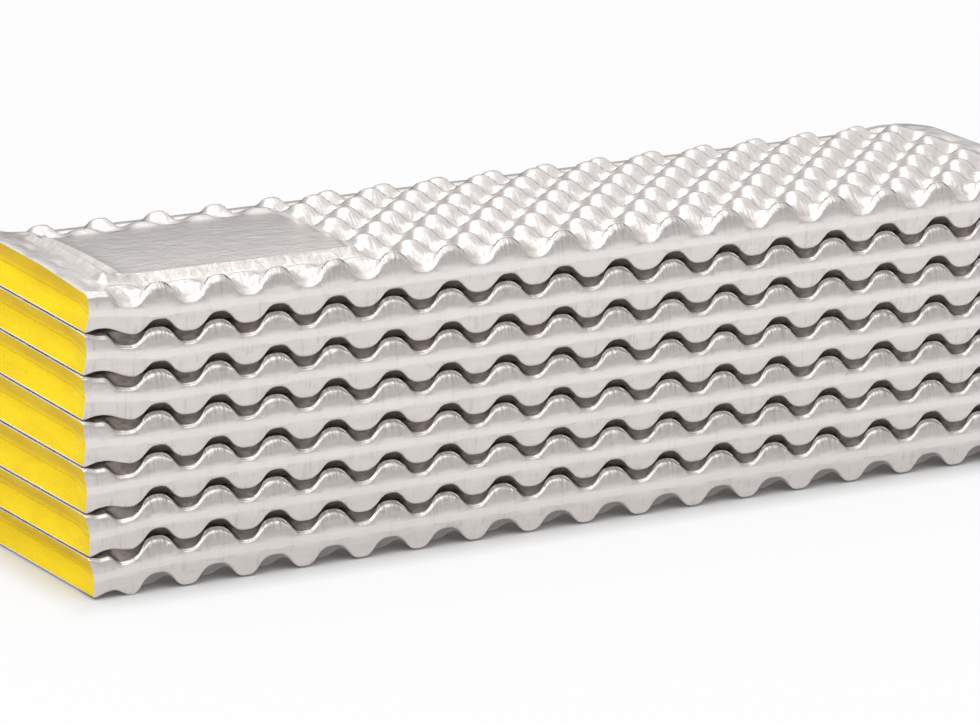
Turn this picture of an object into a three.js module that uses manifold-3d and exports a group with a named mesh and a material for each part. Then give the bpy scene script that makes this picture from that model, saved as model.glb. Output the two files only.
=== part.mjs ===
// A folding sleeping pad of egg-crate foam, drawn folded into its accordion stack.
// Fourteen panels lie on each other. Thirteen live hinges join them, in turn along the front and the
// back edge, and each hinge is a thin web of the same foam, pressed flat. One face of the sheet
// carries a metallised film: it is the upper face of panel 1 and, as the stack folds to and fro,
// the lower face of panel 2, the upper face of panel 3 and so on.
// Millimetres, +Z up. X runs along the panels, Y across them with the first fold at the front (-Y),
// and the origin is the middle of the stack's footprint, on the ground.

import * as THREE from 'three';
import { mergeVertices } from 'three/addons/utils/BufferGeometryUtils.js';
import Module from 'manifold-3d';

const wasm = await Module();
wasm.setup();

// ---- Driving sizes ----
const PANELS = 14;
const WAVES = 16;              // whole waves of the egg-crate along a panel
const ROWS = 8;                // rows of cups between the two folded edges, which lie on rows too
const WAVE_LENGTH = 29.6;
const ROW_WIDTH = 14.45;
const END_BORDER = 18;         // from the last cup to the end of the panel
const WAVE_FADE = 9;           // of that border, where the last cup runs out
const SHEET = 8.6;             // thickness of the foam sheet, measured along Z
const WAVE_HEIGHT = 4.8;       // from the middle of the wave to its crest
const FOLDED_GAP = 0.9;        // between two faces that lie on each other
const NOSE_DROP = 1.6;         // how far a face falls away where it meets the folded edge
const BORDER_ROWS = 2;         // the pad's two free edges have a plain border this many rows wide
const NOSE_WAVE = 3.4;         // height of the wave along that edge
const HINGE_INSET = 0.15;      // every folded edge stays this far behind its hinge line
const WEB_RADIUS = 2;          // of the half-round web along a fold
const WEB_CLEARANCE = 0.3;
const TIP_FLAT = 0.4;          // cut from the crests that the stack stands on
const PLATE_START = -5;        // the plate's left edge, from the first cup
const PLATE_LENGTH = 128;
const PLATE_FRONT = 12.5;      // from the folded edge to the plate
const PLATE_DEPTH = 83;
const PLATE_FLOOR = 2.2;       // above the middle of the filmed face
const PLATE_RIM_WIDTH = 5;
const PLATE_RIM_HEIGHT = 1.6;  // above the plate's floor
const PLATE_MARGIN = 1;        // foam kept between the plate and the panel's lower face

// ---- What follows from them ----
const LENGTH = WAVES * WAVE_LENGTH + 2 * END_BORDER;
const WIDTH = (ROWS + 1) * ROW_WIDTH;
const COLUMNS = 2 * WAVES;
const FIRST_COLUMN = END_BORDER - LENGTH / 2;
const FADE_LINE = LENGTH / 2 - END_BORDER + WAVE_FADE;
const PANEL_STEP = SHEET + FOLDED_GAP;
const LOWEST_MIDDLE = SHEET / 2 + WAVE_HEIGHT - TIP_FLAT;
const NOTCH_RADIUS = WEB_RADIUS + WEB_CLEARANCE;
const NOTCH_STEPS = 3;
const WEB_LENGTH = LENGTH - 2 * WEB_CLEARANCE;
const WEB_STEPS = 3;           // in a quarter turn of the web's round side
const CUTTER_REACH = 60;       // how far a cutting block runs past what it cuts

const FRONT = -1;
const BACK = 1;
const UPPER = 1;
const LOWER = -1;

const FILM = { color: 0xc9c5c1, roughness: 0.38, metalness: 0.75 };
const FOAM = { color: 0xf3d21c, roughness: 0.9, metalness: 0 };

const columnX = (column) => FIRST_COLUMN + (column * WAVE_LENGTH) / 2;
// Row 0 is the front folded edge, and row ROWS + 1 the back one.
const rowY = (row) => -WIDTH / 2 + row * ROW_WIDTH;
const waveSign = (column, row) => ((column + row) % 2 === 0 ? -1 : 1);
const panelMiddle = (panel) => LOWEST_MIDDLE + (PANELS - panel) * PANEL_STEP;
const foldSide = (upperPanel) => (upperPanel % 2 === 1 ? FRONT : BACK);

// ---- A closed skin of triangles ----

class Skin {
  constructor() {
    this.positions = [];
  }

  triangle(a, b, c) {
    for (const point of [a, b, c]) this.positions.push(point.x, point.y, point.z);
  }

  // Fills the band between two runs of points that are both sorted along axis.
  band(a, b, axis = 'x', turned = false) {
    let i = 0;
    let j = 0;
    while (i < a.length - 1 || j < b.length - 1) {
      const alongA = j === b.length - 1 || (i < a.length - 1 && a[i + 1][axis] <= b[j + 1][axis]);
      const third = alongA ? a[i + 1] : b[j + 1];
      if (turned) this.triangle(b[j], third, a[i]);
      else this.triangle(a[i], third, b[j]);
      if (alongA) i += 1;
      else j += 1;
    }
  }

  geometry() {
    const loose = new THREE.BufferGeometry();
    loose.setAttribute('position', new THREE.Float32BufferAttribute(this.positions, 3));
    return mergeVertices(loose, 1e-3);
  }
}

function toManifold(geometry) {
  const plain = geometry.clone();
  plain.deleteAttribute('normal');
  plain.deleteAttribute('uv');
  const merged = mergeVertices(plain, 1e-3);
  return new wasm.Manifold(new wasm.Mesh({
    numProp: 3,
    vertProperties: merged.attributes.position.array,
    triVerts: new Uint32Array(merged.index.array),
  }));
}

function toGeometry(manifold) {
  const mesh = manifold.getMesh();
  const geometry = new THREE.BufferGeometry();
  geometry.setAttribute('position', new THREE.Float32BufferAttribute(mesh.vertProperties, 3));
  geometry.setIndex(new THREE.BufferAttribute(mesh.triVerts, 1));
  return geometry;
}

function blockBetween(low, high) {
  const size = new THREE.Vector3().subVectors(high, low);
  const middle = new THREE.Vector3().addVectors(low, high).multiplyScalar(0.5);
  return new THREE.BoxGeometry(size.x, size.y, size.z).translate(middle.x, middle.y, middle.z);
}

// ---- One panel ----
// A panel's skin is swept round its cross-section: each run of points goes from the left end to the
// right end, and neighbouring runs are joined by a band. Only the egg-crate rows stop at the last
// cups, and the end borders are filled in separately.

// A plain run: one point at each end.
function plainRun(y, z) {
  return [-1, 1].map((side) => new THREE.Vector3((side * LENGTH) / 2, y, z));
}

// The run where a face begins: its ends, its border lines and every step-th column.
function edgeRun(y, z, step, lift) {
  const at = (x, rise) => new THREE.Vector3(x, y, z + rise);
  const [left, right] = plainRun(y, z);
  const columns = [];
  for (let column = 0; column <= COLUMNS; column += step) {
    columns.push(at(columnX(column), lift(column)));
  }
  return [left, at(-FADE_LINE, 0), ...columns, at(FADE_LINE, 0), right];
}

// The folded side of a face: a quarter of the round notch that takes the web, then the face's edge.
function foldedRuns(side, face) {
  const hingeY = (side * WIDTH) / 2;
  const hingeZ = (face * PANEL_STEP) / 2;
  const first = Math.asin(HINGE_INSET / NOTCH_RADIUS);
  const last = Math.acos(FOLDED_GAP / 2 / NOTCH_RADIUS);
  const runs = [];
  for (let step = 0; step <= NOTCH_STEPS; step += 1) {
    const angle = first + ((last - first) * step) / NOTCH_STEPS;
    const y = hingeY - side * NOTCH_RADIUS * Math.sin(angle);
    const z = hingeZ - face * NOTCH_RADIUS * Math.cos(angle);
    const faceEdge = step === NOTCH_STEPS;
    runs.push(faceEdge ? edgeRun(y, z, 2, () => 0) : plainRun(y, z));
  }
  return runs;
}

// The open side of a face: it falls away to the edge, which is a row of the wave itself. The edge of
// a plain border is straight.
function openRuns(side, face, bordered) {
  const y = side * (WIDTH / 2 - HINGE_INSET);
  const z = face * (SHEET / 2 - NOSE_DROP);
  const row = side === FRONT ? 0 : ROWS + 1;
  if (bordered) return [edgeRun(y, z, COLUMNS, () => 0)];
  return [edgeRun(y, z, 1, (column) => NOSE_WAVE * waveSign(column, row))];
}

function cupRow(row, face, bordered) {
  const points = [];
  if (bordered && row > ROWS + 1 - BORDER_ROWS) {
    return [0, COLUMNS].map((column) => (
      new THREE.Vector3(columnX(column), rowY(row), (face * SHEET) / 2)
    ));
  }
  for (let column = 0; column <= COLUMNS; column += 1) {
    const z = (face * SHEET) / 2 + WAVE_HEIGHT * waveSign(column, row);
    points.push(new THREE.Vector3(columnX(column), rowY(row), z));
  }
  return points;
}

// Joins two runs across a face. Between two waving runs each cell is cut along the diagonal that
// joins its two low corners. Any other pair is joined by a plain band.
function addStrip(skin, near, far, row, face) {
  if (near.length !== COLUMNS + 1 || far.length !== COLUMNS + 1) {
    skin.band(near, far, 'x', face === LOWER);
    return;
  }
  for (let column = 0; column < COLUMNS; column += 1) {
    const corners = [near[column], near[column + 1], far[column + 1], far[column]];
    if (waveSign(column, row) > 0) corners.push(corners.shift());
    const [a, b, c, d] = corners;
    if (face === UPPER) {
      skin.triangle(a, b, c);
      skin.triangle(a, c, d);
    } else {
      skin.triangle(a, c, b);
      skin.triangle(a, d, c);
    }
  }
}

// The plain border past the last cups, at both ends of a face. It has the face's full height
// between the first and the last row.
function addBorders(skin, front, rows, back, face) {
  const turned = face === UPPER;
  for (const side of [-1, 1]) {
    const from = (run, offset) => run[side < 0 ? offset : run.length - 1 - offset];
    const full = [1, ROWS].map((row) => (
      new THREE.Vector3(side * FADE_LINE, rowY(row), (face * SHEET) / 2)
    ));
    const end = [from(front, 0), from(back, 0)];
    const fade = [from(front, 1), ...full, from(back, 1)];
    const cups = [from(front, 2), ...rows.map((row) => from(row, 0)), from(back, 2)];
    const lines = side < 0 ? [end, fade, cups] : [cups, fade, end];
    skin.band(lines[0], lines[1], 'y', turned);
    skin.band(lines[1], lines[2], 'y', turned);
  }
}

function addFace(skin, front, back, face, bordered) {
  const rows = Array.from({ length: ROWS }, (_, index) => cupRow(index + 1, face, bordered));
  const cupSpan = (run) => run.slice(2, -2);
  const runs = [cupSpan(front), ...rows, cupSpan(back)];
  for (let row = 0; row <= ROWS; row += 1) addStrip(skin, runs[row], runs[row + 1], row, face);
  addBorders(skin, front, rows, back, face);
}

function addEndCaps(skin, runs) {
  for (const side of [-1, 1]) {
    const loop = runs.map((run) => (side < 0 ? run[0] : run[run.length - 1]));
    const outline = loop.map((point) => new THREE.Vector2(point.y, point.z));
    for (const [i, j, k] of THREE.ShapeUtils.triangulateShape(outline, [])) {
      if (side > 0) skin.triangle(loop[i], loop[j], loop[k]);
      else skin.triangle(loop[i], loop[k], loop[j]);
    }
  }
}

// folds says, for the front and the back side, which face is folded onto its neighbour (0 for none).
// bordered is the face whose back edge has a plain border (0 for none).
function panelGeometry(folds, bordered) {
  const runsAt = (side, face) => {
    const folded = (side === FRONT ? folds.front : folds.back) === face;
    if (folded) return foldedRuns(side, face);
    return openRuns(side, face, side === BACK && face === bordered);
  };
  const frontLower = runsAt(FRONT, LOWER);
  const frontUpper = runsAt(FRONT, UPPER);
  const backUpper = runsAt(BACK, UPPER);
  const backLower = runsAt(BACK, LOWER);
  const frontNose = [...frontLower.reverse(), ...frontUpper];
  const backNose = [...backUpper.reverse(), ...backLower];
  const skin = new Skin();
  for (const nose of [frontNose, backNose]) {
    for (let i = 0; i < nose.length - 1; i += 1) skin.band(nose[i], nose[i + 1]);
  }
  addFace(skin, frontNose[frontNose.length - 1], backNose[0], UPPER, bordered === UPPER);
  addFace(skin, frontNose[0], backNose[backNose.length - 1], LOWER, bordered === LOWER);
  addEndCaps(skin, [...frontNose, ...backNose]);
  return skin.geometry();
}

function foldsOf(panel) {
  const above = panel > 1 ? UPPER : 0;
  const below = panel < PANELS ? LOWER : 0;
  return panel % 2 === 1 ? { front: below, back: above } : { front: above, back: below };
}

// The outer face of the stack's top and bottom panels, whose back edges are the pad's free edges.
function outerFace(panel) {
  if (panel === 1) return UPPER;
  return panel === PANELS ? LOWER : 0;
}

// ---- The plate on panel 1 and the standing crests under the last panel ----

function plateBlock(inset, low, high) {
  const left = columnX(0) + PLATE_START;
  const near = PLATE_FRONT - WIDTH / 2;
  return toManifold(blockBetween(
    new THREE.Vector3(left + inset, near + inset, low),
    new THREE.Vector3(left + PLATE_LENGTH - inset, near + PLATE_DEPTH - inset, high),
  ));
}

// A flat recessed plate with a raised rim takes the place of the cups near the left end. The foam
// under it is filled up from just above the panel's lower face.
function withPlate(panel) {
  const floor = SHEET / 2 + PLATE_FLOOR;
  const rim = floor + PLATE_RIM_HEIGHT;
  const underside = panel.translate([0, 0, PLATE_MARGIN - SHEET]);
  const filling = plateBlock(0, -SHEET / 2, rim).subtract(underside);
  return panel
    .subtract(plateBlock(0, floor, CUTTER_REACH))
    .add(filling)
    .subtract(plateBlock(PLATE_RIM_WIDTH, floor, CUTTER_REACH));
}

function withFlatCrests(panel) {
  const ground = TIP_FLAT - SHEET / 2 - WAVE_HEIGHT;
  const below = blockBetween(
    new THREE.Vector3(-LENGTH, -WIDTH, ground - CUTTER_REACH),
    new THREE.Vector3(LENGTH, WIDTH, ground),
  );
  return panel.subtract(toManifold(below));
}

// ---- The web along a fold ----

// A half-round bar: its flat side lies at the stack's face, its round side fills the notches.
function webGeometry(side) {
  const section = new THREE.Shape();
  const start = Math.asin(HINGE_INSET / WEB_RADIUS);
  section.absarc(0, 0, WEB_RADIUS, start, Math.PI - start, false);
  const bar = new THREE.ExtrudeGeometry(section, {
    depth: WEB_LENGTH,
    bevelEnabled: false,
    curveSegments: WEB_STEPS,
  });
  bar.translate(0, 0, -WEB_LENGTH / 2);
  bar.rotateX(Math.PI / 2);
  bar.rotateZ(Math.PI / 2);
  bar.rotateX(side === FRONT ? -Math.PI / 2 : Math.PI / 2);
  return bar;
}

// ---- Assembly ----

function named(name, geometry, finish) {
  const mesh = new THREE.Mesh(geometry, new THREE.MeshStandardMaterial(finish));
  mesh.name = name;
  return mesh;
}

const twoDigits = (number) => String(number).padStart(2, '0');

const stack = new THREE.Group();

for (let panel = 1; panel <= PANELS; panel += 1) {
  let geometry = panelGeometry(foldsOf(panel), outerFace(panel));
  if (panel === 1) geometry = toGeometry(withPlate(toManifold(geometry)));
  if (panel === PANELS) geometry = toGeometry(withFlatCrests(toManifold(geometry)));
  const mesh = named(`panel_${twoDigits(panel)}`, geometry, FILM);
  mesh.position.z = panelMiddle(panel);
  stack.add(mesh);
}

for (let upper = 1; upper < PANELS; upper += 1) {
  const side = foldSide(upper);
  const web = named(`fold_web_${twoDigits(upper)}`, webGeometry(side), side === FRONT ? FILM : FOAM);
  web.position.set(0, (side * WIDTH) / 2, panelMiddle(upper) - PANEL_STEP / 2);
  stack.add(web);
}

export default stack;
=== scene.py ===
"""Looks for a folded foam sleeping pad: moulded film-faced panels, soft folds and a studio.

Fourteen egg-crate panels lie in an accordion stack. Each has a metallised film face and a
yellow foam face, and every pair of neighbours is joined by a soft fold at the front or back.
"""

from __future__ import annotations

import logging
import math
from dataclasses import dataclass, field
from enum import Enum

import bpy
from mathutils import Matrix, Vector

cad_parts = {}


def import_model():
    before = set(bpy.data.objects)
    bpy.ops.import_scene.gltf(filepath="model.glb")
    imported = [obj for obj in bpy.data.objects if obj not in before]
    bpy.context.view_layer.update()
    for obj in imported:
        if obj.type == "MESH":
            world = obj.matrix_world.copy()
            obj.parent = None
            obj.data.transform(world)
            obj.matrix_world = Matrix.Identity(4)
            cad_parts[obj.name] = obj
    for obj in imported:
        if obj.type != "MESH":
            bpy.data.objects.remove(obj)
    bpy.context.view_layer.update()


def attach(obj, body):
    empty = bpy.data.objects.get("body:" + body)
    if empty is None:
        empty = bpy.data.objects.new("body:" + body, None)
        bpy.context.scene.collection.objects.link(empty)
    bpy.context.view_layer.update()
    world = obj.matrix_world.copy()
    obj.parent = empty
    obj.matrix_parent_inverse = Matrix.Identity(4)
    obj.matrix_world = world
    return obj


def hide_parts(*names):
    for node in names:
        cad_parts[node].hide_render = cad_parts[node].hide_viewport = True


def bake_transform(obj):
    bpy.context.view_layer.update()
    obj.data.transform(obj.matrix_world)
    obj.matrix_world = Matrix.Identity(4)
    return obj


LOG = logging.getLogger("sleeping_pad")
MM = 0.001
NUMBER = "NodeSocketFloat"

Tree = bpy.types.NodeTree
Socket = bpy.types.NodeSocket
Pair = tuple[float, float]
Point = tuple[float, float, float]
Colour = tuple[float, float, float]


class Lie(Enum):
    """Which way a panel's film face looks in the folded stack."""

    FILM_UP = 1
    FILM_DOWN = -1


class FoldEdge(Enum):
    """The long side that a fold runs along, and where its outside faces along Y."""

    FRONT = -1
    BACK = 1


class Slot(Enum):
    """The record's material slots."""

    PANEL = "film_and_foam_panel"
    FILM_FOLD = "film_hinge"
    FOAM_FOLD = "foam_hinge"


# ---------------------------------------------------------------- sums in node trees


@dataclass(frozen=True)
class Field:
    """A number that a node tree works out at every point.

    Adding, multiplying and comparing fields adds math nodes to the tree.
    """

    tree: Tree
    socket: Socket

    def _math(self, operation: str, *values: Value) -> Field:
        """Adds one math node.

        Args:
            operation: The node's operation.
            *values: Its inputs in order.

        Returns:
            The node's result.
        """
        node = self.tree.nodes.new("ShaderNodeMath")
        node.operation = operation
        for slot, value in zip(node.inputs, values):
            plug(self.tree, value, slot)
        return Field(self.tree, node.outputs[0])

    def __add__(self, other: Value) -> Field:
        """This plus other."""
        return self._math("ADD", self, other)

    def __radd__(self, other: float) -> Field:
        """Other plus this."""
        return self._math("ADD", other, self)

    def __sub__(self, other: Value) -> Field:
        """This minus other."""
        return self._math("SUBTRACT", self, other)

    def __rsub__(self, other: float) -> Field:
        """Other minus this."""
        return self._math("SUBTRACT", other, self)

    def __mul__(self, other: Value) -> Field:
        """This times other."""
        return self._math("MULTIPLY", self, other)

    def __rmul__(self, other: float) -> Field:
        """Other times this."""
        return self._math("MULTIPLY", other, self)

    def __truediv__(self, other: Value) -> Field:
        """This over other."""
        return self._math("DIVIDE", self, other)

    def __neg__(self) -> Field:
        """This with its sign turned."""
        return self._math("MULTIPLY", self, -1.0)

    def sine(self) -> Field:
        """The sine of this angle in radians."""
        return self._math("SINE", self)

    def cosine(self) -> Field:
        """The cosine of this angle in radians."""
        return self._math("COSINE", self)

    def size(self) -> Field:
        """This without its sign."""
        return self._math("ABSOLUTE", self)

    def sign(self) -> Field:
        """One, nought or minus one."""
        return self._math("SIGN", self)

    def power(self, exponent: Value) -> Field:
        """This raised to exponent."""
        return self._math("POWER", self, exponent)

    def at_least(self, floor: Value) -> Field:
        """The larger of this and floor."""
        return self._math("MAXIMUM", self, floor)

    def at_most(self, ceiling: Value) -> Field:
        """The smaller of this and ceiling."""
        return self._math("MINIMUM", self, ceiling)

    def above(self, limit: Value) -> Field:
        """One where this is above limit, nought elsewhere."""
        return self._math("GREATER_THAN", self, limit)

    def ramp(self, low: Value, high: Value, smooth: bool = True) -> Field:
        """Nought below low, one above high.

        Args:
            low: Where the ramp begins.
            high: Where it ends.
            smooth: Whether it eases in and out, or runs straight.

        Returns:
            The ramp's value, from nought to one.
        """
        node = self.tree.nodes.new("ShaderNodeMapRange")
        node.interpolation_type = "SMOOTHSTEP" if smooth else "LINEAR"
        node.clamp = True
        plug(self.tree, self, node.inputs["Value"])
        plug(self.tree, low, node.inputs["From Min"])
        plug(self.tree, high, node.inputs["From Max"])
        return Field(self.tree, node.outputs["Result"])

    def bump(self, middle: float, width: float) -> Field:
        """A soft ridge, one at middle and nought half a width either side of it."""
        return 1.0 - (self - middle).size().ramp(0.0, width / 2)

    def blend(self, low: Value, high: Value) -> Field:
        """Low where this is nought, high where it is one."""
        if isinstance(low, Field):
            return low + self * (high - low)
        return self * (high - low) + low


Value = Field | float


def ramp(value: Value, low: float, high: float, smooth: bool = True) -> Value:
    """Nought below low, one above high, for a field or a plain number.

    Args:
        value: What the ramp follows.
        low: Where the ramp begins.
        high: Where it ends.
        smooth: Whether it eases in and out, or runs straight.

    Returns:
        The ramp's value, from nought to one.
    """
    if isinstance(value, Field):
        return value.ramp(low, high, smooth)
    share = min(1.0, max(0.0, (value - low) / (high - low)))
    return share * share * (3.0 - 2.0 * share) if smooth else share


def fuller(wave: Field, share: float) -> Field:
    """A wave with flatter tops and steeper flanks."""
    return wave * ((1.0 + share) - wave * wave * share)


def plug(tree: Tree, value: object, slot: Socket) -> None:
    """Feeds a node's input.

    Args:
        tree: The tree that holds the node.
        value: A field, a socket, or a plain value.
        slot: The input.
    """
    if isinstance(value, Field):
        tree.links.new(value.socket, slot)
    elif isinstance(value, Socket):
        tree.links.new(value, slot)
    else:
        slot.default_value = value


def add_node(tree: Tree, kind: str, **inputs: object) -> bpy.types.Node:
    """Adds a node and feeds its inputs by name.

    Args:
        tree: The tree that gets the node.
        kind: The node's type.
        **inputs: Values for its inputs, with _ for a space in a name.

    Returns:
        The node.
    """
    node = tree.nodes.new(kind)
    for name, value in inputs.items():
        plug(tree, value, node.inputs[name.replace("_", " ")])
    return node


def add_inputs(tree: Tree, values: dict[str, float]) -> dict[str, str]:
    """Gives a tree its named inputs.

    Args:
        tree: The tree.
        values: Each input's default value.

    Returns:
        Each input's identifier.
    """
    names = {}
    for title, value in values.items():
        socket = tree.interface.new_socket(name=title, in_out="INPUT", socket_type=NUMBER)
        socket.default_value = value
        names[title] = socket.identifier
    return names


# ---------------------------------------------------------------- finishes


def new_group(name: str, inputs: dict[str, float], outputs: tuple[str, ...]) -> Tree:
    """Makes a shader node group that works on numbers.

    Args:
        name: The group's name.
        inputs: Each input's default value.
        outputs: The outputs' names.

    Returns:
        The group, with its input and output nodes in place.
    """
    group = bpy.data.node_groups.new(name, "ShaderNodeTree")
    add_inputs(group, inputs)
    for title in outputs:
        group.interface.new_socket(name=title, in_out="OUTPUT", socket_type=NUMBER)
    group.nodes.new("NodeGroupInput")
    group.nodes.new("NodeGroupOutput")
    return group


def group_input(group: Tree, name: str) -> Field:
    """The field that a group's named input gives."""
    node = next(n for n in group.nodes if n.bl_idname == "NodeGroupInput")
    return Field(group, node.outputs[name])


def group_result(group: Tree, name: str, value: object) -> None:
    """Feeds one of a group's named outputs."""
    node = next(n for n in group.nodes if n.bl_idname == "NodeGroupOutput")
    plug(group, value, node.inputs[name])


def stretched(tree: Tree, scale: Point = (1.0, 1.0, 1.0)) -> Socket:
    """Object coordinates in millimetres, scaled along each axis.

    Args:
        tree: The shader tree.
        scale: How much closer together a pattern lies along X, Y and Z.

    Returns:
        The vector socket.
    """
    place = add_node(tree, "ShaderNodeTexCoord")
    sizes = tuple(s / MM for s in scale)
    mapping = add_node(tree, "ShaderNodeMapping", Vector=place.outputs["Object"], Scale=sizes)
    return mapping.outputs["Vector"]


def noise(tree: Tree, vector: object, scale: float, twist: float) -> Field:
    """A noise from nought to one, with two finer layers.

    Args:
        tree: The shader tree.
        vector: Where it is read.
        scale: Waves for each unit of vector.
        twist: How far it is warped.

    Returns:
        The noise's value.
    """
    node = add_node(tree, "ShaderNodeTexNoise", Vector=vector, Scale=scale, Distortion=twist)
    node.inputs["Detail"].default_value = 2.0
    return Field(tree, node.outputs["Fac"])


def crinkle_group() -> Tree:
    """Makes the film's relief: pulled streaks, fine crinkles and shallow dents.

    Returns:
        A group with a Height output in millimetres, and Tone, Streak and Crease from nought to one; the
        film paints shade along Crease.
    """
    group = new_group(
        "film_crinkle",
        {"Streaks": 1.0, "Crinkles": 1.0, "Dents": 1.0, "Slackness": 0.0},
        ("Height", "Tone", "Streak", "Crease"),
    )
    pulled_down = noise(group, stretched(group, (1.0, 0.12, 0.07)), scale=0.85, twist=0.15)
    pulled_along = noise(group, stretched(group, (0.04, 0.45, 0.42)), scale=0.9, twist=0.2)
    facets = add_node(group, "ShaderNodeTexVoronoi", Vector=stretched(group), Scale=0.42)
    facets.feature = "SMOOTH_F1"
    facets.inputs["Smoothness"].default_value = 0.35
    crinkles = Field(group, facets.outputs["Distance"])
    dents = noise(group, stretched(group), scale=0.16, twist=0.6)
    slack = group_input(group, "Slackness")
    streaks = slack.blend(pulled_down, pulled_along)
    height = (
        group_input(group, "Streaks") * (streaks - 0.5)
        + group_input(group, "Crinkles") * (crinkles - 0.5)
        + group_input(group, "Dents") * (dents - 0.5)
    )
    group_result(group, "Height", height)
    group_result(group, "Tone", (streaks * 0.6 + dents * 0.4).ramp(0.3, 0.7))
    group_result(group, "Streak", streaks.ramp(0.38, 0.62))
    # Crease marks the crinkle creases where the film paints shade.
    group_result(group, "Crease", pulled_down.ramp(0.5, 0.64) * dents.ramp(0.46, 0.6))
    return group


def cell_group() -> Tree:
    """Makes the foam's closed cells.

    Returns:
        A group with a Height output in millimetres, and a Mask that is dark in each cell's pit.
    """
    group = new_group("foam_cells", {"Cell": 0.7, "Depth": 0.1}, ("Height", "Mask"))
    cell = group_input(group, "Cell")
    pits = add_node(group, "ShaderNodeTexVoronoi", Vector=stretched(group))
    plug(group, cell.power(-1.0), pits.inputs["Scale"])
    walls = Field(group, pits.outputs["Distance"]).ramp(0.1, 0.75)
    group_result(group, "Height", walls * group_input(group, "Depth"))
    group_result(group, "Mask", walls)
    return group


@dataclass(frozen=True)
class FilmFinish:
    """Metallised film laminated on foam: a bright, soft mirror full of pulled streaks, with painted
    shade, shadow and highlight.
    """

    name: str = "metallised_film"
    bright: Colour = (0.78, 0.737, 0.71)
    # This darker film colour serves both the film's random tone and its painted shade.
    dull_and_shade: Colour = (0.54, 0.505, 0.48)
    # A painted highlight colour for the folds, and a painted shadow colour with its share.
    glint: Colour = (0.93, 0.89, 0.86)
    shadow_colour: Colour = (0.27, 0.245, 0.23)
    shadow_share: float = 0.75
    metallic: float = 0.96
    streak_height: float = 0.08
    crinkle_height: float = 0.03
    dent_height: float = 0.35
    wall_streaks: float = 0.7
    plate_streaks: float = 0.10
    lobe_streaks: float = 0.25
    tone_share: float = 0.25
    # Shares of painted shade in the crinkle creases, on the lobes and in the hollows.
    crease_share: float = 0.35
    lobe_share: float = 0.6
    hollow_share: float = 0.7
    plate_share: float = 0.3
    plate_base: float = 0.02
    # The painted highlight along the middle of each fold: its share, and where it fades out as a share
    # of the sheet.
    glint_share: float = 0.6
    highlight_span: Pair = (0.0, 0.35)
    roughness: float = 0.27
    wall_roughness: float = 0.3
    tone_roughness: float = 0.06

    def material(self) -> bpy.types.Material:
        """Builds the material.

        Returns:
            The film's material, which reads the attributes that the panels carry.
        """
        material, tree, surface = new_material(self.name)
        surface.inputs["Metallic"].default_value = self.metallic
        lobe = attribute(tree, "lobe")
        wall = attribute(tree, "wall") * (1.0 - lobe)
        plate = attribute(tree, "plate")
        hollow_shade = attribute(tree, "hollow_shade")
        deep_shade = attribute(tree, "deep_shade")
        relief = add_node(tree, "ShaderNodeGroup")
        relief.node_tree = bpy.data.node_groups["film_crinkle"]
        streaks = wall.blend(self.streak_height, self.streak_height * self.wall_streaks)
        streaks = streaks + plate * self.plate_streaks + lobe * self.lobe_streaks
        plug(tree, streaks, relief.inputs["Streaks"])
        plug(tree, self.crinkle_height, relief.inputs["Crinkles"])
        plug(tree, self.dent_height, relief.inputs["Dents"])
        plug(tree, wall.at_least(plate), relief.inputs["Slackness"])
        tone = Field(tree, relief.outputs["Tone"])
        streak = Field(tree, relief.outputs["Streak"])
        crease_shade = Field(tree, relief.outputs["Crease"])
        fold_highlight = wall * (1.0 - attribute(tree, "coating").ramp(*self.highlight_span))
        # Painted shade towards the darker colour: in the crinkle creases on the nose walls, in streaks
        # on the lobes and in the marked hollows; the tone and the plate's streaks are the film's own.
        shade = tone * self.tone_share + wall * crease_shade * self.crease_share
        shade = shade + lobe * streak * self.lobe_share + hollow_shade * self.hollow_share
        shade = shade + plate * (streak * self.plate_share + self.plate_base)
        colour = mix_colour(tree, shade.at_most(1.0), self.bright, self.dull_and_shade)
        # Painted highlight along the middle of each fold, on the nose walls and the fold strips.
        colour = mix_colour(tree, fold_highlight * self.glint_share, colour, self.glint)
        # Painted shadow in the gaps between panels, beneath the bottom panel, and in the top panel's
        # front troughs and steep slopes.
        colour = mix_colour(tree, deep_shade * self.shadow_share, colour, self.shadow_colour)
        plug(tree, colour, surface.inputs["Base Color"])
        rough = wall.blend(self.roughness, self.wall_roughness) + tone * self.tone_roughness
        plug(tree, rough, surface.inputs["Roughness"])
        plug(tree, bump(tree, Field(tree, relief.outputs["Height"])), surface.inputs["Normal"])
        return material


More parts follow.
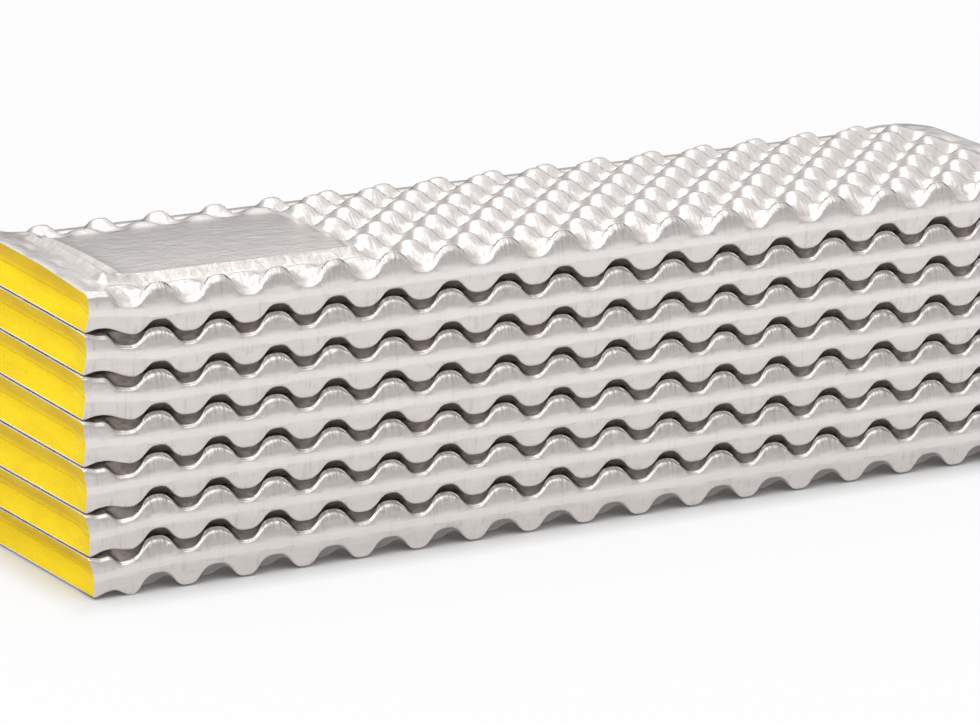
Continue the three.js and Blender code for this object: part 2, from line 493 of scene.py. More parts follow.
@dataclass(frozen=True)
class FoamFinish:
    """Closed-cell foam: matte yellow with a fine cell grain."""

    name: str = "yellow_foam"
    bright: Colour = (0.97, 0.72, 0.006)
    # Deep yellow for the foam's own tone, also used for painted shade on the upper end faces.
    deep: Colour = (0.62, 0.38, 0.010)
    film_edge: Colour = (0.86, 0.83, 0.80)
    cell: float = 0.75
    depth: float = 0.12
    drift_share: float = 0.22
    # Share of painted shade on the film-up panels' upper end faces.
    upper_end_shade_share: float = 0.42
    wall_share: float = -0.12
    base_share: float = 0.12
    edge_span: Pair = (0.915, 0.945)
    roughness: float = 0.72
    specular: float = 0.2
    sheen: float = 0.05

    def material(self) -> bpy.types.Material:
        """Builds the material.

        Returns:
            The foam's material.
        """
        material, tree, surface = new_material(self.name)
        surface.inputs["Roughness"].default_value = self.roughness
        surface.inputs["Specular IOR Level"].default_value = self.specular
        surface.inputs["Sheen Weight"].default_value = self.sheen
        cells = add_node(tree, "ShaderNodeGroup")
        cells.node_tree = bpy.data.node_groups["foam_cells"]
        plug(tree, self.cell, cells.inputs["Cell"])
        plug(tree, self.depth, cells.inputs["Depth"])
        drift = noise(tree, stretched(tree, (1.0, 0.25, 1.0)), scale=0.12, twist=0.3).ramp(0.35, 0.7)
        # Painted shade on the upper part of the film-up panels' end faces; the drift above and the cell
        # grain are the foam's own tone.
        shade = drift * self.drift_share + attribute(tree, "upper_end_shade") * self.upper_end_shade_share
        shade = shade + Field(tree, cells.outputs["Mask"]) * self.wall_share + self.base_share
        foam = mix_colour(tree, shade.at_least(0.0), self.bright, self.deep)
        coating = attribute(tree, "coating").ramp(*self.edge_span)
        plug(tree, mix_colour(tree, coating, foam, self.film_edge), surface.inputs["Base Color"])
        plug(tree, bump(tree, Field(tree, cells.outputs["Height"])), surface.inputs["Normal"])
        return material


def new_material(name: str) -> tuple[bpy.types.Material, Tree, bpy.types.Node]:
    """Starts a node material.

    Args:
        name: Its name.

    Returns:
        The material, its tree and its Principled node.
    """
    material = bpy.data.materials.new(name)
    material.use_nodes = True
    tree = material.node_tree
    surface = next(n for n in tree.nodes if n.bl_idname == "ShaderNodeBsdfPrincipled")
    return material, tree, surface


def attribute(tree: Tree, name: str) -> Field:
    """The field that a mesh's own attribute gives."""
    node = tree.nodes.new("ShaderNodeAttribute")
    node.attribute_name = name
    return Field(tree, node.outputs["Fac"])


def mix_colour(tree: Tree, share: Field, low: object, high: object) -> Socket:
    """Mixes two colours.

    Args:
        tree: The shader tree.
        share: Nought gives low, one gives high.
        low: A colour or a colour socket.
        high: A colour or a colour socket.

    Returns:
        The mixed colour's socket.
    """
    node = tree.nodes.new("ShaderNodeMix")
    node.data_type = "RGBA"
    plug(tree, share, node.inputs["Factor"])
    colours = [s for s in node.inputs if s.type == "RGBA"]
    for slot, value in zip(colours, (low, high)):
        plug(tree, (*value, 1.0) if isinstance(value, tuple) else value, slot)
    return next(s for s in node.outputs if s.type == "RGBA")


def bump(tree: Tree, height: Field) -> Socket:
    """Turns a height in millimetres into a normal."""
    node = add_node(tree, "ShaderNodeBump", Strength=1.0, Distance=MM, Height=height)
    return node.outputs["Normal"]


# ---------------------------------------------------------------- panels


@dataclass
class Mould:
    """The sizes every panel is pressed to, in millimetres."""

    half_length: float = 254.8
    half_width: float = 65.025
    wave_length: float = 29.6
    row_width: float = 14.45
    first_column: float = -236.8
    sheet: float = 8.6
    step: float = 9.5
    lowest_middle: float = 8.7
    panels: int = 14
    crest: float = 4.8
    open_crest: float = 3.5
    open_trough: float = 4.3
    hanging_crest: float = 4.1
    hanging_trough: float = 2.7
    under_crest: float = 2.7
    under_trough: float = 4.9
    top_crest: float = 4.8
    top_trough: float = 5.4
    fullness: float = 0.45
    open_drop: float = 1.35
    wall_inset: float = 0.15
    film_swell: float = 0.15
    end_swell: float = 0.13
    foam_swell: float = 0.37
    end_slant: float = 5.0
    nose_lean: float = 0.8
    lobe_lean: float = 2.6
    end_reach: float = 5.4
    reach_fall: float = 3.9
    reach_middle: float = 85.0
    reach_span: float = 66.0
    reach_length: float = 30.0
    flare_length: float = 34.0
    flare_from: float = 22.95
    flare_to: float = 100.0
    flare_rise: float = 6.7
    flare_sink: float = 3.0
    flare_twist: float = 0.0042
    settle_from: float = 117.95
    settle_to: float = 136.95
    settle_drop: float = 0.8
    right_share: float = 0.4
    station_pull: float = 0.3
    row_pull: float = 0.55
    film_bias: float = 1.3
    film_end: Pair = (6.0, 25.0)
    down_sink: Pair = (8.0, 22.0)
    up_sink: Pair = (4.0, 15.0)
    hem_close: Pair = (3.0, 11.0)
    border_close: Pair = (5.0, 15.0)
    spout_span: Pair = (2.0, 13.0)
    spout_powers: Pair = (0.6, 1.3)
    nose_wave: Pair = (-0.9, 0.9)
    lobe_wave: Pair = (-0.2, 0.9)
    lean_from: float = 0.27
    lean_power: float = 1.3
    drop_reach: float = 10.0
    drop_end: Pair = (0.5, 7.0)
    foam_front: Pair = (3.0, 11.0)
    foam_end: Pair = (8.0, 20.0)
    swell_end: float = 8.0
    back_radius: float = 1.4
    border_radius: float = 3.0
    end_radius: float = 1.1
    corner_radius: float = 1.0
    border_corner: float = 16.0
    slant_side: float = 22.0
    slant_least: float = 0.2
    slant_length: float = 14.0
    nose_depth: float = 6.0
    crown_rise: float = 2.6
    crown_span: Pair = (4.0, 52.0)
    crown_droop: float = 5.2
    droop_reach: float = 38.0
    crown_end: float = 30.0
    crown_end_share: float = 0.8
    stations: int = 321
    rows: int = 77
    layers: int = 11

    def middle(self, panel: int) -> float:
        """The height of a panel's middle in the folded stack."""
        return self.lowest_middle + (self.panels - panel) * self.step

    def flare(self, level: Value, left: Value, right: Value, front: Value) -> Value:
        """How the stack spreads at its unpressed ends.

        Args:
            level: The height in a stack without waves.
            left: Distance from the left end.
            right: Distance from the right end.
            front: Distance from the front edge.

        Returns:
            The shift along Z.
        """
        rise = ramp(level, self.flare_from, self.flare_to) * self.flare_rise
        rise = rise * (front * self.flare_twist + 1.0)
        settle = ramp(level, self.settle_from, self.settle_to, smooth=False) * self.settle_drop
        at_right = (1.0 - ramp(right, 0.0, self.flare_length)) * self.right_share
        share = (1.0 - ramp(left, 0.0, self.flare_length)) + at_right
        return (rise - settle - self.flare_sink) * share

    def reach(self, level: Value, left: Value, right: Value) -> Value:
        """How much further out the ends of the middle panels stand.

        Args:
            level: The height in a stack without waves.
            left: Distance from the left end.
            right: Distance from the right end.

        Returns:
            The shift against X.
        """
        off_middle = (level - self.reach_middle) / self.reach_span
        extra = self.end_reach - off_middle * off_middle * self.reach_fall
        at_right = (1.0 - ramp(right, 0.0, self.reach_length)) * self.right_share
        return extra * ((1.0 - ramp(left, 0.0, self.reach_length)) - at_right)


@dataclass(frozen=True)
class Plate:
    """The bare field on the top panel, in millimetres from the pad's middle."""

    centre_x: float = -177.8
    half_x: float = 64.0
    centre_y: float = -11.0
    half_y: float = 41.5
    rise: float = 2.4
    bulge: float = 1.2
    edge: float = 1.4
    front_edge: Pair = (-6.0, 1.2)
    low_behind: Pair = (6.0, 20.0)
    low_beside: Pair = (-2.0, 6.0)
    ridge_end: Pair = (-5.0, -1.0)
    # Painted shade on the front ridge: where it fades out at the plate's ends, and its depth.
    ridge_shade_end: Pair = (-2.0, 1.0)
    front_ridge_shade: float = 0.3
    calm_reach: float = 5.4
    back_calm: float = 0.6
    front_ridge: Pair = (-5.0, 9.0)
    front_height: float = 1.9
    left_ridges: tuple[Pair, ...] = ((-2.8, 5.2), (-9.2, 5.2))
    left_height: float = 2.0
    # Painted shade in the channels beside and between the two left ridges.
    left_grooves: tuple[Pair, ...] = ((0.6, 3.4), (-6.0, 3.4), (-12.6, 4.0))


@dataclass(frozen=True)
class Marks:
    """Where the finishes change and where shade is painted: millimetres from an edge, or shares of a
    wave, slope or sheet.
    """

    wall: Pair = (0.5, 5.0)
    # Painted shade on the upper part of the film-up panels' end faces.
    shade_sheet: Pair = (0.12, 0.4)
    shade_end: Pair = (4.0, 12.0)
    lobe_sheet: Pair = (0.35, 0.75)
    inner_near: Pair = (0.8, 4.0)
    inner_far: Pair = (11.0, 17.0)
    shaded_wave: Pair = (0.0, 0.7)
    shaded_top: float = 0.7
    stroke_slope: Pair = (0.4, 0.95)
    stroke_share: float = 0.85
    stroke_base: float = 0.12
    stroke_front: Pair = (3.0, 12.0)
    under_near: Pair = (0.8, 3.0)
    under_far: Pair = (14.0, 20.0)
    gap_wave: Pair = (0.1, 0.8)
    dimple_wave: Pair = (0.5, 1.0)
    dimple_ridge: Pair = (8.5, 9.0)
    dimple_share: float = 0.5
    flank_slope: Pair = (0.62, 1.0)
    flank_front: Pair = (3.0, 9.0)
    flank_share: float = 0.3


@dataclass
class PanelTree:
    """The node tree that presses one panel: a box blank pushed into waves, folds and rims."""

    mould: Mould
    film: bpy.types.Material
    foam: bpy.types.Material
    plate: Plate = Plate()
    marks: Marks = Marks()
    tree: Tree = field(init=False)
    names: dict[str, str] = field(init=False)

    def __post_init__(self) -> None:
        """Builds the tree as soon as its sizes are known."""
        self.tree = bpy.data.node_groups.new("pressed_panel", "GeometryNodeTree")
        self.tree.interface.new_socket(name="Panel", in_out="OUTPUT", socket_type="NodeSocketGeometry")
        m = self.mould
        values = {"Middle": 0.0, "Film Side": 1.0, "Bordered": 0.0, "Plate": 0.0, "Crown": 0.0}
        values |= {"Lobe Radius": 3.0, "Lip Radius": 1.5, "Sheet": m.sheet, "Crest": m.crest}
        values |= {"Half Length": m.half_length, "Half Width": m.half_width}
        values |= {"Wave Length": m.wave_length, "Row Width": m.row_width}
        self.names = add_inputs(self.tree, values)
        self.inlet = self.tree.nodes.new("NodeGroupInput")
        self._build()

    def size(self, name: str) -> Field:
        """The field of one of the tree's named inputs."""
        return Field(self.tree, self.inlet.outputs[name])

    def turn(self, x: Field) -> Field:
        """The wave's angle at a place along the pad."""
        return (x - self.mould.first_column) * math.pi / (self.size("Wave Length") * 0.5)

    def _build(self) -> None:
        """Lays out the whole tree, from the blank to the two materials."""
        t, m, k = self.tree, self.mould, self.marks
        counts = {"Vertices_X": m.stations, "Vertices_Y": m.rows, "Vertices_Z": m.layers}
        blank = add_node(t, "GeometryNodeMeshCube", Size=(2.0, 2.0, 2.0), **counts)
        position = t.nodes.new("GeometryNodeInputPosition")
        place = add_node(t, "ShaderNodeSeparateXYZ", Vector=position.outputs[0])
        u, v, w = (Field(t, place.outputs[i]) for i in range(3))
        side, sheet = self.size("Film Side"), self.size("Sheet")
        long, wide = self.size("Half Length"), self.size("Half Width")
        x = long * (u + (u * math.pi).sine() * (m.station_pull / math.pi))
        y = wide * (v + (v * math.pi).sine() * (m.row_pull / math.pi))
        filmy = 1.0 - (0.5 - side * w * 0.5).at_least(0.0).power(m.film_bias)
        front, back = y + wide, wide - y
        end, left = long - x.size(), long + x

        along = fuller(self.turn(x).cosine(), m.fullness)
        across = ((y + wide) * math.pi / self.size("Row Width")).cosine()
        wave = -along * across
        bordered = self.size("Bordered")
        crest = self.size("Crest")
        low_crest = m.open_crest / m.crest
        film_up = side.ramp(-1.0, 1.0, smooth=False)
        topmost = self.size("Crown")
        undermost = bordered - topmost
        hanging_arch = undermost.blend(m.hanging_crest, m.under_crest)
        arch = topmost.blend(film_up.blend(hanging_arch, m.open_crest), m.top_crest)
        hanging = undermost.blend(m.hanging_trough, m.under_trough)
        trough = topmost.blend(film_up.blend(hanging, m.open_trough), m.top_trough)
        edge_crest = wave.above(0.0).blend(trough, arch) / crest

        # the film face is open at the front, and folded or bordered at the back
        film_end = end.ramp(*m.film_end)
        sinking = film_up.blend(end.ramp(*m.down_sink), end.ramp(*m.up_sink))
        film_fade = wave.above(0.0).blend(sinking, film_end)
        hem, border = m.hem_close, m.border_close
        closing = back.ramp(bordered.blend(hem[0], border[0]), bordered.blend(hem[1], border[1]))
        spouts = wave.sign() * wave.size().power(wave.above(0.0).blend(*m.spout_powers))
        spouted = topmost * (1.0 - front.ramp(*m.spout_span))
        shaped = spouted.blend(wave, spouts)
        film_wave = shaped * crest * front.ramp(0.0, m.row_width).blend(edge_crest, 1.0)
        film_wave = film_wave * closing * film_fade
        film_drop = (1.0 - front.ramp(0.0, m.drop_reach)) * end.ramp(*m.drop_end) * m.open_drop
        film_drop = film_drop * (1.0 - topmost)
        # the foam face is folded at the front, and open at the back
        foam_wave = wave * crest * back.ramp(0.0, m.row_width).blend(low_crest, 1.0)
        foam_wave = foam_wave * front.ramp(*m.foam_front) * end.ramp(*m.foam_end)
        foam_drop = (1.0 - back.ramp(0.0, m.drop_reach)) * end.ramp(*m.drop_end) * m.open_drop

        plate, plate_calm, plate_face, shaded_groove = self._plate(x, y, sheet)
        film_swell = (1.0 - end.ramp(0.0, m.swell_end)) * (1.0 - topmost) * m.end_swell + m.film_swell
        film_face = side * (sheet * 0.5 + film_swell - film_drop) + film_wave * plate_calm
        film_face = film_face + self._crown(front, back, end)
        film_face = plate.blend(film_face, plate_face)
        foam_face = -side * (sheet * 0.5 + m.foam_swell - foam_drop) + foam_wave
        height = filmy.blend(foam_face, film_face)
        thick = (film_face - foam_face).size()
        below = (1.0 - filmy) * thick
        above = filmy * thick

        # rounded edges: the nose, the open foam edge, the plain border and the ends
        lobe = wave * side * film_end
        nose = lobe.ramp(*m.nose_wave).blend(self.size("Lip Radius"), self.size("Lobe Radius"))
        inward, down = self._rounded(front, below, nose)
        outward, up = self._rounded(back, above, m.back_radius)
        border_in, border_down = self._rounded(back, below, bordered * m.border_radius)
        y = y + inward - outward - border_in
        height = height - side * (down + border_down) + side * up
        end_in, end_down = self._rounded(end, below, m.end_radius)
        height = height - side * end_down
        corner_x, corner_y = self._rounded(end, back, bordered.blend(m.corner_radius, m.border_corner))
        y = y - corner_y
        amid = front.ramp(0.0, m.slant_side) * back.ramp(0.0, m.slant_side)
        slant_depth = amid.blend(m.slant_least, 1.0) * m.end_slant
        slant = (1.0 - filmy) * (1.0 - end.ramp(0.0, m.slant_length)) * slant_depth
        x = x - x.sign() * (end_in + corner_x + slant)
        near_front = 1.0 - front.ramp(0.0, m.nose_depth)
        lobe_share = film_up * lobe.ramp(*m.lobe_wave) * near_front
        leaning = filmy.ramp(m.lean_from, 1.0, smooth=False).power(m.lean_power)
        y = y + leaning * near_front * (lobe_share * m.lobe_lean + m.nose_lean)
        y = y + (m.wall_inset - front).at_least(0.0) - (m.wall_inset - back).at_least(0.0)

        middle = self.size("Middle")
        level = middle + side * (filmy - 0.5) * m.step
        right = long - x
        z = middle + height + m.flare(level, left, right, front)
        x = x - m.reach(level, left, right)

        normal = t.nodes.new("GeometryNodeInputNormal")
        facing = add_node(t, "ShaderNodeSeparateXYZ", Vector=normal.outputs[0])
        towards_y, towards_z = (Field(t, facing.outputs[i]) for i in (1, 2))
        coated = (towards_z * side).above(0.5).at_least((-towards_y).above(0.5))

        # Most marks below paint shade into the finishes' colours; wall, plate, coating and lobe also
        # steer relief and roughness.
        slope = self.turn(x).sine() * across
        inside = front.ramp(*k.inner_near) * (1.0 - front.ramp(*k.inner_far))
        shaded = (-lobe).ramp(*k.shaded_wave) * inside * topmost.blend(1.0, k.shaded_top)
        # Painted shade on the top panel's left-facing crest slopes, with a little over all its waves.
        stroke_shade = slope.ramp(*k.stroke_slope) * k.stroke_share + k.stroke_base
        stroke_shade = stroke_shade * topmost * front.ramp(*k.stroke_front) * plate_calm
        # Painted shadow on the bottom panel's film face just behind its front edge.
        under_shade = (1.0 - film_up) * front.ramp(*k.under_near) * bordered
        under_shade = under_shade * (1.0 - front.ramp(*k.under_far))
        # Painted shadow in the troughs of the film-up faces below the top panel, just behind the front
        # edge.
        deep_shade = ((-lobe).ramp(*k.gap_wave) * film_up * (1.0 - topmost) * inside).at_least(under_shade)
        # Painted shade in the middle of the top panel's front troughs, some 4 to 13 mm behind the edge.
        dimple_shade = (-lobe).ramp(*k.dimple_wave) * front.bump(*k.dimple_ridge) * k.dimple_share
        # Painted shade on the top panel's steepest left-facing slopes.
        flank_shade = slope.ramp(*k.flank_slope) * front.ramp(*k.flank_front) * plate_calm * k.flank_share
        # Painted shade on the upper part of the film-up panels' end faces.
        upper_end_shade = film_up * filmy.ramp(*k.shade_sheet) * (1.0 - end.ramp(*k.shade_end))
        read = {
            "wall": 1.0 - front.ramp(*k.wall),
            "plate": plate,
            "coating": filmy,
            "upper_end_shade": upper_end_shade,
            "lobe": lobe_share * filmy.ramp(*k.lobe_sheet),
            "hollow_shade": shaded_groove.at_least(shaded).at_least(stroke_shade),
            "deep_shade": deep_shade.at_least(flank_shade.at_least(dimple_shade) * topmost),
        }
        spot = add_node(t, "ShaderNodeCombineXYZ", X=x * MM, Y=y * MM, Z=z * MM)
        self._dress(blank.outputs["Mesh"], coated, read, spot.outputs[0])

    def _dress(self, geometry: Socket, coated: Field, read: dict[str, Field], spot: Socket) -> None:
        """Ends the tree: attributes, places and materials.

        Args:
            geometry: The blank.
            coated: Which faces carry the film.
            read: What the finishes read, by attribute name.
            spot: Where each point goes.
        """
        t = self.tree
        geometry = self._store(geometry, "coat", coated, "FACE")
        for name, value in read.items():
            geometry = self._store(geometry, name, value, "POINT")
        moved = add_node(t, "GeometryNodeSetPosition", Geometry=geometry, Position=spot)
        real = add_node(t, "GeometryNodeRealizeInstances", Geometry=moved.outputs[0])
        foamy = add_node(t, "GeometryNodeSetMaterial", Geometry=real.outputs[0], Material=self.foam)
        faced = add_node(t, "GeometryNodeSetMaterial", Geometry=foamy.outputs[0], Material=self.film)
        coat = t.nodes.new("GeometryNodeInputNamedAttribute")
        coat.data_type = "FLOAT"
        coat.inputs["Name"].default_value = "coat"
        plug(t, Field(t, coat.outputs[0]).above(0.5), faced.inputs["Selection"])
        outlet = t.nodes.new("NodeGroupOutput")
        t.links.new(faced.outputs[0], outlet.inputs[0])

    def _store(self, geometry: Socket, name: str, value: Field, domain: str) -> Socket:
        """Keeps a field of the blank as a named attribute.

        Args:
            geometry: The mesh so far.
            name: The attribute's name.
            value: What is kept.
            domain: POINT or FACE.

        Returns:
            The mesh with its attribute.
        """
        node = self.tree.nodes.new("GeometryNodeStoreNamedAttribute")
        node.data_type = "FLOAT"
        node.domain = domain
        plug(self.tree, geometry, node.inputs["Geometry"])
        node.inputs["Name"].default_value = name
        plug(self.tree, value, next(s for s in node.inputs if s.name == "Value" and s.enabled))
        return node.outputs["Geometry"]

    @staticmethod
    def _rounded(across: Field, deep: Field, radius: Value) -> tuple[Field, Field]:
        """Draws a square corner onto a round one.

        Args:
            across: Distance from the edge along the face.
            deep: Distance from the face along the wall.
            radius: The corner's radius.

        Returns:
            How far a point moves away from the edge, and away from the face.
        """
        a = (radius - across).at_least(0.0)
        b = (radius - deep).at_least(0.0)
        reach = (a * a + b * b).at_least(1e-6).power(0.5)
        keep = a.at_least(b) / reach
        keep = keep + (1.0 - a.at_least(b).above(0.001))
        keep = keep.at_most(1.0)
        return a * (1.0 - keep), b * (1.0 - keep)

    def _crown(self, front: Field, back: Field, end: Field) -> Field:
        """The soft rise of the outermost face, and the droop of its plain border.

        Args:
            front: Distance from the front edge.
            back: Distance from the back edge.
            end: Distance from the nearer end.

        Returns:
            The rise along Z.
        """
        m = self.mould
        droop = (1.0 - back.ramp(0.0, m.droop_reach)) * m.crown_droop
        rise = front.ramp(*m.crown_span) * m.crown_rise - droop
        return self.size("Crown") * rise * end.ramp(0.0, m.crown_end).blend(m.crown_end_share, 1.0)

    def _plate(self, x: Field, y: Field, sheet: Field) -> tuple[Field, Field, Field, Field]:
        """The bare raised field that is pressed into the top panel, with its double rim.

        Args:
            x: Place along the pad.
            y: Place across the pad.
            sheet: The sheet's thickness.

        Returns:
            Where the field lies, how much of the waves stays round it, its height, and
            the painted shade in its channels and on its front ridge.
        """
        p = self.plate
        ahead, left = p.centre_y - p.half_y - y, p.centre_x - p.half_x - x
        behind = y - p.centre_y - p.half_y
        out_x = (x - p.centre_x).size() - p.half_x
        out_y = (y - p.centre_y).size() - p.half_y
        plated = self.size("Plate")
        inside = (1.0 - out_x.at_least(behind).ramp(-p.edge, p.edge)) * plated
        inside = inside * (1.0 - ahead.ramp(*p.front_edge))
        calm = 1.0 - (1.0 - out_x.at_least(out_y).ramp(0.0, p.calm_reach)) * plated
        low_back = (1.0 - behind.ramp(*p.low_behind)) * (1.0 - out_x.ramp(*p.low_beside))
        calm = calm * (1.0 - low_back * (y - p.centre_y).above(0.0) * plated * p.back_calm)
        in_y = 1.0 - out_y.ramp(*p.ridge_end)
        beside = sum(left.bump(*ridge) for ridge in p.left_ridges) * p.left_height * in_y
        front_ridge = ahead.bump(*p.front_ridge)
        ridges = (front_ridge * p.front_height).at_least(beside)
        sag = (y - p.centre_y) * (y - p.centre_y) / (p.half_y * p.half_y)
        face = sheet * 0.5 + p.rise + ridges + (1.0 - sag).at_least(0.0) * p.bulge
        # Painted shade in the channels beside and between the left ridges, and on the front ridge.
        groove_shade = sum(left.bump(*shaded_groove) for shaded_groove in p.left_grooves) * in_y * plated
        front_ridge_shade = front_ridge * plated * p.front_ridge_shade * (1.0 - out_x.ramp(*p.ridge_shade_end))
        return inside, calm, face, groove_shade.at_least(front_ridge_shade)


@dataclass
class PanelStack:
    """The fourteen pressed panels, each on its own body."""

    mould: Mould
    film: bpy.types.Material
    foam: bpy.types.Material
    lobe_radius: float = 2.6
    lip_radius: float = 1.3
    top_radius: float = 4.6
    spout_radius: float = 1.8
    hem_radius: float = 0.9
    sharp_angle: float = 48.0

    def lie(self, panel: int) -> Lie:
        """Odd panels lie film up, even ones film down."""
        return Lie.FILM_UP if panel % 2 else Lie.FILM_DOWN

    def build(self) -> None:
        """Presses, dresses and places every panel."""
        press = PanelTree(self.mould, self.film, self.foam)
        for panel in range(1, self.mould.panels + 1):
            piece = self._press(press, panel)
            node = f"panel_{panel:02d}"
            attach(piece, node)
            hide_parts(node)
            lie = self.lie(panel).name.lower()
            LOG.info("%s: %d faces, %s", piece.name, len(piece.data.polygons), lie)

    def _radii(self, panel: int) -> Pair:
        """How round the nose is at a crest, and at a trough."""
        if panel == 1:
            return self.top_radius, self.spout_radius
        if self.lie(panel) is Lie.FILM_UP:
            return self.lobe_radius, self.lip_radius
        return self.hem_radius, self.hem_radius

    def _press(self, press: PanelTree, panel: int) -> bpy.types.Object:
        """Runs the tree once.

        Args:
            press: The panel tree.
            panel: The panel's number, from the top.

        Returns:
            The panel as a plain mesh.
        """
        lobe_radius, lip_radius = self._radii(panel)
        values = {
            "Middle": self.mould.middle(panel),
            "Film Side": float(self.lie(panel).value),
            "Bordered": float(panel in (1, self.mould.panels)),
            "Plate": float(panel == 1),
            "Crown": float(panel == 1),
            "Lobe Radius": lobe_radius,
            "Lip Radius": lip_radius,
        }
        piece = run_tree(press.tree, press.names, values, f"pad_panel_{panel:02d}")
        piece.data.set_sharp_from_angle(angle=math.radians(self.sharp_angle))
        return piece


def run_tree(tree: Tree, names: dict[str, str], values: dict[str, float], name: str) -> bpy.types.Object:
    """Turns a node tree's result into a plain mesh object.

    Args:
        tree: The tree.
        names: The identifier of each named input.
        values: The inputs to set.
        name: The new object's name.

    Returns:
        The object, smooth and at the origin.
    """
    carrier = bpy.data.objects.new(name, bpy.data.meshes.new(name))
    bpy.context.scene.collection.objects.link(carrier)
    modifier = carrier.modifiers.new("press", "NODES")
    modifier.node_group = tree
    for title, value in values.items():
        modifier[names[title]] = value
    bpy.context.view_layer.update()
    graph = bpy.context.evaluated_depsgraph_get()
    mesh = bpy.data.meshes.new_from_object(carrier.evaluated_get(graph), depsgraph=graph)
    carrier.modifiers.remove(modifier)
    carrier.data = mesh
    mesh.name = name
    mesh.shade_smooth()
    return carrier


# ---------------------------------------------------------------- folds


@dataclass
class Folds:
    """The thirteen soft strips that join neighbouring panels."""

    mould: Mould
    film: bpy.types.Material
    foam: bpy.types.Material
    half_height: float = 2.3
    thickness: float = 0.35
    proud: float = 0.07
    sunk: float = 0.12
    bend: float = 1.5
    end_gap: float = 0.05
    half_rows: int = 6
    steps: int = 96
    sharp_angle: float = 40.0

    def build(self) -> None:
        """Makes each strip at its fold and hides the frame's own fold web."""
        for fold in range(1, self.mould.panels):
            edge = FoldEdge.FRONT if fold % 2 else FoldEdge.BACK
            piece = self._strip(fold, edge)
            axis_z = self.mould.middle(fold) - self.mould.step / 2
            (axis_z + self.bend) * MM
            (axis_z - self.bend) * MM
            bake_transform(piece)
            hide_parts(f"fold_web_{fold:02d}")
            LOG.info("%s: %s fold", piece.name, edge.name.lower())

    def _strip(self, fold: int, edge: FoldEdge) -> bpy.types.Object:
        """Makes one strip as a closed band.

        Args:
            fold: The fold's number, from the top.
            edge: The side it runs along.

        Returns:
            The strip's object.
        """
        m = self.mould
        axis_z = m.middle(fold) - m.step / 2
        n = self.half_rows
        heights = [self.half_height * k / n for k in range(-n, n + 1)]
        profile = [(h, self._relief(h)) for h in heights]
        profile += [(h, self._relief(h) - self.thickness) for h in reversed(heights)]
        half = m.half_length - m.slant_least * m.end_slant - self.end_gap
        front = 0.0 if edge is FoldEdge.FRONT else 2 * m.half_width
        vertices, faces = [], []
        for i in range(self.steps + 1):
            x = -half + 2 * half * i / self.steps
            left, right = m.half_length + x, m.half_length - x
            shift = m.flare(axis_z, left, right, front)
            x -= m.reach(axis_z, left, right)
            for h, out in profile:
                y = edge.value * (m.half_width - m.wall_inset + out)
                vertices.append((x * MM, y * MM, (axis_z + h + shift) * MM))
        count = len(profile)
        for i in range(self.steps):
            for k in range(count):
                a, b = i * count + k, i * count + (k + 1) % count
                faces.append((a, b, b + count, a + count))
        faces.append(tuple(range(count))[::-1])
        faces.append(tuple(self.steps * count + k for k in range(count)))
        if edge is FoldEdge.FRONT:
            faces = [f[::-1] for f in faces]
        name = f"fold_strip_{fold:02d}"
        mesh = bpy.data.meshes.new(name)
        mesh.from_pydata(vertices, [], faces)
        outer, inner = (self.film, self.foam) if edge is FoldEdge.FRONT else (self.foam, self.film)
        for material in (outer, inner):
            mesh.materials.append(material)
        lined = [len(heights) <= k < count - 1 for k in range(count)] * self.steps + [False, False]
        mesh.polygons.foreach_set("material_index", [int(flag) for flag in lined])
        # The whole strip counts as wall, so its film takes the painted highlight along the fold and the
        # painted shade in the creases.
        walls = mesh.attributes.new("wall", "FLOAT", "POINT")
        walls.data.foreach_set("value", [1.0] * len(vertices))
        mesh.shade_smooth()
        mesh.set_sharp_from_angle(angle=math.radians(self.sharp_angle))
        piece = bpy.data.objects.new(name, mesh)
        bpy.context.scene.collection.objects.link(piece)
        return piece

    def _relief(self, height: float) -> float:
        """How far the strip stands out from the panels' walls, by height from the fold."""
        share = min(1.0, abs(height) / self.half_height)
        return self.proud - (self.proud + self.sunk) * share**3


# ---------------------------------------------------------------- studio


@dataclass(frozen=True)
class Lamp:
    """A square softbox: where it hangs and its side in metres, and its power in watts."""

    name: str
    place: Point
    side: float
    power: float


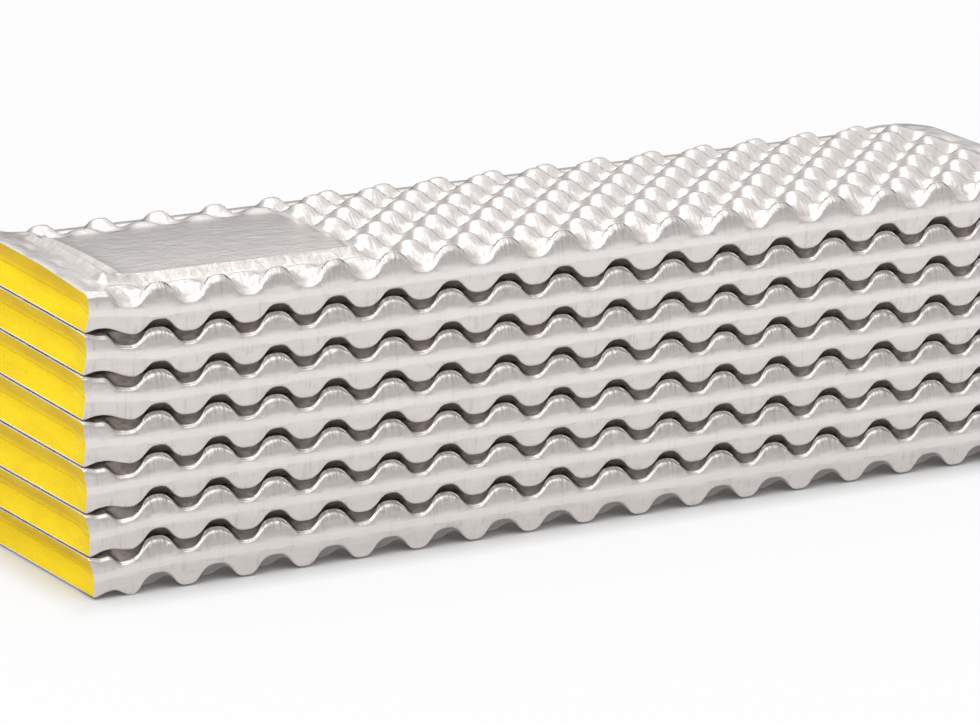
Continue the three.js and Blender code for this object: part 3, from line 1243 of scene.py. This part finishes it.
@dataclass
class Studio:
    """A white sweep, soft lamps and the camera."""

    lamps: tuple[Lamp, ...] = (
        Lamp("key", (-2.1, -0.7, 2.9), 2.4, 50.0),
        Lamp("fill", (0.9, -1.7, 3.2), 2.2, 20.0),
        Lamp("top", (0.1, 0.9, 3.1), 2.6, 24.0),
    )
    aim: Point = (0.0, 0.0, 0.07)
    floor_half: float = 12.0
    position: Point = (-1.4469, -2.3421, 0.8134)
    yaw: float = 31.455
    pitch: float = 15.283
    roll: float = 1.218
    lens: float = 225.5
    horizon_level: float = 0.02
    sky_slope: float = 2.2
    sky_level: float = 1.0
    front_level: float = 0.60
    sky_turn: Pair = (-0.5, 0.4)
    glow_near: float = 0.34
    glow_far: float = 0.95
    glow_span: Pair = (0.06, 0.45)
    mirror_span: Pair = (-0.3, 0.0)
    shade_half_x: float = 0.250
    shade_half_y: float = 0.060
    shade_edge: float = 0.030
    clear_share: float = 0.88

    def build(self) -> None:
        """Sets the floor, the lamps, the sky and the camera."""
        bpy.context.scene.view_settings.view_transform = "Standard"
        self._world()
        self._floor()
        for lamp in self.lamps:
            self._hang(lamp)
        self._camera()

    def _world(self) -> None:
        """A pale room that is white to the camera."""
        world = bpy.data.worlds.new("pale_room")
        bpy.context.scene.world = world
        world.use_nodes = True
        tree = world.node_tree
        light = next(n for n in tree.nodes if n.bl_idname == "ShaderNodeBackground")
        path = tree.nodes.new("ShaderNodeLightPath")
        seen = Field(tree, path.outputs["Is Camera Ray"])
        direction = tree.nodes.new("ShaderNodeTexCoord")
        split = add_node(tree, "ShaderNodeSeparateXYZ", Vector=direction.outputs["Generated"])
        behind = Field(tree, split.outputs["Y"]).ramp(*self.sky_turn)
        height = Field(tree, split.outputs["Z"]).at_least(0.0)
        rising = (height * self.sky_slope + self.horizon_level).at_most(self.sky_level)
        room = behind.blend(self.front_level, rising)
        plug(tree, seen.blend(room, 1.0), light.inputs["Strength"])
        light.inputs["Color"].default_value = (1.0, 1.0, 1.0, 1.0)

    def _floor(self) -> None:
        """A wide white sheet that keeps a soft shadow."""
        mesh = bpy.data.meshes.new("studio_floor")
        r = self.floor_half
        mesh.from_pydata([(-r, -r, 0), (r, -r, 0), (r, r, 0), (-r, r, 0)], [], [(0, 1, 2, 3)])
        floor = bpy.data.objects.new("studio_floor", mesh)
        bpy.context.scene.collection.objects.link(floor)
        material, tree, surface = new_material("floor_paper")
        surface.inputs["Base Color"].default_value = (0.68, 0.68, 0.68, 1.0)
        surface.inputs["Roughness"].default_value = 0.9
        glow = add_node(tree, "ShaderNodeEmission", Color=(1.0, 1.0, 1.0, 1.0), Strength=1.0)
        path = tree.nodes.new("ShaderNodeLightPath")
        spot = add_node(tree, "ShaderNodeTexCoord")
        split = add_node(tree, "ShaderNodeSeparateXYZ", Vector=spot.outputs["Object"])
        across, along = Field(tree, split.outputs["X"]), Field(tree, split.outputs["Y"])
        clear = (across.size() - self.shade_half_x).at_least(along.size() - self.shade_half_y)
        clear = clear.ramp(0.0, self.shade_edge)
        seen = Field(tree, path.outputs["Is Camera Ray"]) * clear * self.clear_share
        # To the film's reflections the floor glows, weakly near the pad and fading out behind it: a
        # painted shadow round the pad in what the film reflects.
        ahead = (-along).ramp(*self.glow_span).blend(self.glow_near, self.glow_far)
        mirrored = Field(tree, path.outputs["Is Glossy Ray"]) * ahead
        mirrored = mirrored * (-along).ramp(*self.mirror_span)
        mixed = add_node(tree, "ShaderNodeMixShader", Fac=seen.at_least(mirrored))
        tree.links.new(surface.outputs[0], mixed.inputs[1])
        tree.links.new(glow.outputs[0], mixed.inputs[2])
        outlet = next(n for n in tree.nodes if n.bl_idname == "ShaderNodeOutputMaterial")
        tree.links.new(mixed.outputs[0], outlet.inputs["Surface"])
        mesh.materials.append(material)

    def _hang(self, lamp: Lamp) -> None:
        """Hangs one lamp so that it looks at the pad."""
        data = bpy.data.lights.new(lamp.name, "AREA")
        data.size = lamp.side
        data.energy = lamp.power
        holder = bpy.data.objects.new(lamp.name, data)
        holder.location = lamp.place
        aim = Vector(self.aim) - Vector(lamp.place)
        holder.rotation_euler = aim.to_track_quat("-Z", "Y").to_euler()
        bpy.context.scene.collection.objects.link(holder)

    def _camera(self) -> None:
        """A long lens that looks down on the left front corner."""
        data = bpy.data.cameras.new("camera")
        data.lens = self.lens
        data.sensor_width = 36.0
        data.clip_end = 50.0
        camera = bpy.data.objects.new("camera", data)
        turn = (
            Matrix.Rotation(math.radians(-self.yaw), 4, "Z")
            @ Matrix.Rotation(math.radians(90.0 - self.pitch), 4, "X")
            @ Matrix.Rotation(math.radians(self.roll), 4, "Z")
        )
        camera.matrix_world = Matrix.Translation(Vector(self.position)) @ turn
        bpy.context.scene.collection.objects.link(camera)
        bpy.context.scene.camera = camera


def main() -> None:
    """Builds the pad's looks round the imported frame."""
    logging.basicConfig(level=logging.INFO, format="%(name)s: %(message)s")
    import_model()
    crinkle_group()
    cell_group()
    film, foam = FilmFinish().material(), FoamFinish().material()
    mould = Mould()
    PanelStack(mould, film, foam).build()
    Folds(mould, film, foam).build()
    Studio().build()


if __name__ == "__main__":
    main()
